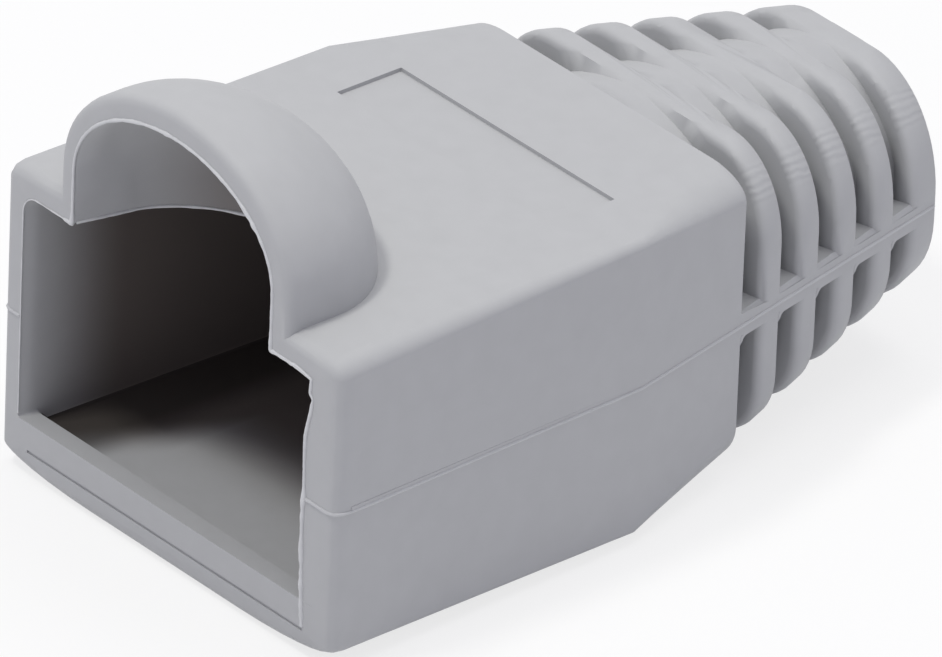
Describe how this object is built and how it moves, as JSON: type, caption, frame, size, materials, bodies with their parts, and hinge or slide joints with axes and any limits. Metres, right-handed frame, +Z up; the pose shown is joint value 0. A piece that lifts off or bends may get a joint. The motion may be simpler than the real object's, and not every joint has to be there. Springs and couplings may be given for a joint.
{
  "type": "rj45 strain relief boot",
  "caption": "Soft plastic boot that slips over a modular plug, with a latch hood over the open mouth and a ribbed, tapering tail round the cable.",
  "frame": {"origin": "centre of the boot's box in plan, at the height of its flat bottom", "axes": "+Y along the boot from the open mouth to the cable end, +Z up through the latch hood, X across"},
  "size_m": [0.0144, 0.0242, 0.0141],
  "materials": {
    "boot": "matte"
  },
  "bodies": {
    "root": {"boot": "boot"}
  },
  "joints": []
}
